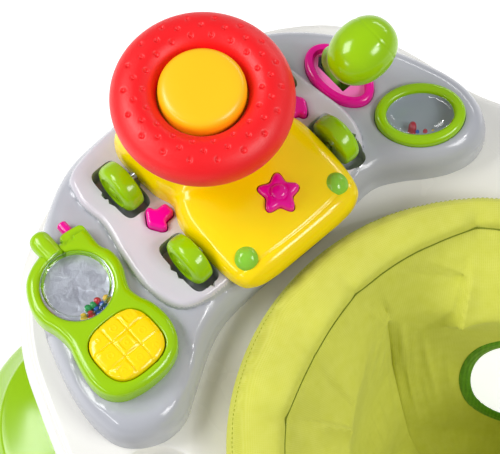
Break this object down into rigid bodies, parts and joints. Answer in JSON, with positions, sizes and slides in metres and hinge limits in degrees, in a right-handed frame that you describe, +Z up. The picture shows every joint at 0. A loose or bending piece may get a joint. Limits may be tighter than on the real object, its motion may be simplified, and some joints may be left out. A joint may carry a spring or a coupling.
{
  "type": "activity jumper",
  "caption": "Baby activity jumper: a sprung tray on legs with a swivelling cloth seat and a toy car console with steering wheel, telephone, gear lever and bead windows.",
  "frame": {"origin": "on the floor, straight below the centre of the round seat", "axes": "+Z up; +Y from the seat to the toy console; +X to the seated child's right, where the gear lever stands"},
  "size_m": [0.7174, 0.84, 0.5469],
  "materials": {
    "green_plastic": "glossy injection-moulded ABS",
    "cream_plastic": "satin injection-moulded polypropylene",
    "grey_plastic": "finely grained moulded ABS",
    "yellow_plastic": "glossy injection-moulded ABS",
    "magenta_plastic": "glossy injection-moulded ABS",
    "red_soft_plastic": "soft finely grained elastomer over a moulded core",
    "black_rubber": "moulded non-slip rubber",
    "steel": "drawn steel wire and rod",
    "clear_plastic": "clear moulded polystyrene",
    "foil": "crinkled silver film",
    "seat_cloth": "lime green padded woven cloth",
    "bead_plastic": "small moulded plastic beads in four colours",
    "board_laminate": "fibreglass circuit board with its parts",
    "black_plastic": "moulded speaker basket with a paper cone"
  },
  "bodies": {
    "base": {"front_left_hub": "green_plastic", "front_right_hub": "green_plastic", "rear_left_hub": "green_plastic", "rear_right_hub": "green_plastic", "front_base_tube": "cream_plastic", "left_base_tube": "cream_plastic", "rear_base_tube": "cream_plastic", "right_base_tube": "cream_plastic", "front_left_foot": "black_rubber", "front_right_foot": "black_rubber", "rear_left_foot": "black_rubber", "rear_right_foot": "black_rubber", "front_left_leg_post": "cream_plastic", "front_right_leg_post": "cream_plastic", "rear_left_leg_post": "cream_plastic", "rear_right_leg_post": "cream_plastic", "front_left_spring": "steel", "front_right_spring": "steel", "rear_left_spring": "steel", "rear_right_spring": "steel"},
    "tray": {"tray": "cream_plastic", "front_left_leg_sleeve": "cream_plastic", "front_right_leg_sleeve": "cream_plastic", "rear_left_leg_sleeve": "cream_plastic", "rear_right_leg_sleeve": "cream_plastic", "console": "grey_plastic", "car_body": "yellow_plastic", "front_axle": "steel", "rear_axle": "steel", "left_headlight": "green_plastic", "right_headlight": "green_plastic", "phone_body": "green_plastic", "phone_mirror": "foil", "phone_window": "clear_plastic", "phone_beads": "bead_plastic", "phone_antenna": "green_plastic", "gear_plate": "magenta_plastic", "oval_ring": "green_plastic", "oval_dome": "clear_plastic", "oval_beads": "bead_plastic", "circuit_board": "board_laminate", "speaker": "black_plastic"},
    "seat": {"seat_ring": "cream_plastic", "seat_ring_keeper": "grey_plastic", "seat_cloth": "seat_cloth"},
    "steering": {"steering_wheel": "red_soft_plastic", "steering_column": "grey_plastic"},
    "horn": {"horn_button": "yellow_plastic"},
    "star": {"star_button": "magenta_plastic"},
    "left_arrow": {"left_arrow_button": "magenta_plastic"},
    "right_arrow": {"right_arrow_button": "magenta_plastic"},
    "keypad": {"phone_keypad": "yellow_plastic"},
    "phone_pin": {"phone_pin_button": "magenta_plastic"},
    "gear": {"gear_lever": "green_plastic", "gear_knob": "green_plastic"},
    "front_left_car_wheel": {"front_left_car_wheel": "green_plastic"},
    "front_right_car_wheel": {"front_right_car_wheel": "green_plastic"},
    "rear_left_car_wheel": {"rear_left_car_wheel": "green_plastic"},
    "rear_right_car_wheel": {"rear_right_car_wheel": "green_plastic"}
  },
  "joints": [
    {"name": "tray_bounce", "type": "slide", "parent": "base", "child": "tray", "axis": [0, 0, 1], "range_m": [-0.05, 0], "stiffness_N_per_m": 1500, "springref_m": 0.04, "deforming": ["front_left_spring", "front_right_spring", "rear_left_spring", "rear_right_spring"]},
    {"name": "seat_swivel", "type": "hinge", "parent": "tray", "child": "seat", "pos_m": [0, 0, 0.4], "axis": [0, 0, 1], "continuous": true},
    {"name": "steering_turn", "type": "hinge", "parent": "tray", "child": "steering", "pos_m": [-0.006, 0.316, 0.521], "axis": [0, 0, 1], "continuous": true},
    {"name": "horn_press", "type": "slide", "parent": "steering", "child": "horn", "axis": [0, 0, -1], "range_m": [0, 0.003], "stiffness_N_per_m": 600, "springref_m": -0.002},
    {"name": "star_press", "type": "slide", "parent": "tray", "child": "star", "axis": [0, 0, -1], "range_m": [0, 0.0025], "stiffness_N_per_m": 500, "springref_m": -0.0015},
    {"name": "left_arrow_press", "type": "slide", "parent": "tray", "child": "left_arrow", "axis": [0, 0, -1], "range_m": [0, 0.0025], "stiffness_N_per_m": 500, "springref_m": -0.0015},
    {"name": "right_arrow_press", "type": "slide", "parent": "tray", "child": "right_arrow", "axis": [0, 0, -1], "range_m": [0, 0.0025], "stiffness_N_per_m": 500, "springref_m": -0.0015},
    {"name": "keypad_press", "type": "slide", "parent": "tray", "child": "keypad", "axis": [0, 0, -1], "range_m": [0, 0.0025], "stiffness_N_per_m": 500, "springref_m": -0.0015},
    {"name": "phone_pin_press", "type": "slide", "parent": "tray", "child": "phone_pin", "axis": [0, -1, 0], "range_m": [0, 0.0025], "stiffness_N_per_m": 300, "springref_m": -0.001},
    {"name": "gear_shift", "type": "hinge", "parent": "tray", "child": "gear", "pos_m": [0.113, 0.2925, 0.411], "axis": [1, 0, 0], "range_deg": [0, 30]},
    {"name": "front_left_wheel_spin", "type": "hinge", "parent": "tray", "child": "front_left_car_wheel", "pos_m": [-0.07875, 0.2505, 0.445], "axis": [1, 0, 0], "continuous": true},
    {"name": "front_right_wheel_spin", "type": "hinge", "parent": "tray", "child": "front_right_car_wheel", "pos_m": [0.07175, 0.2505, 0.445], "axis": [1, 0, 0], "continuous": true},
    {"name": "rear_left_wheel_spin", "type": "hinge", "parent": "tray", "child": "rear_left_car_wheel", "pos_m": [-0.07875, 0.33, 0.445], "axis": [1, 0, 0], "continuous": true},
    {"name": "rear_right_wheel_spin", "type": "hinge", "parent": "tray", "child": "rear_right_car_wheel", "pos_m": [0.07175, 0.33, 0.445], "axis": [1, 0, 0], "continuous": true}
  ]
}
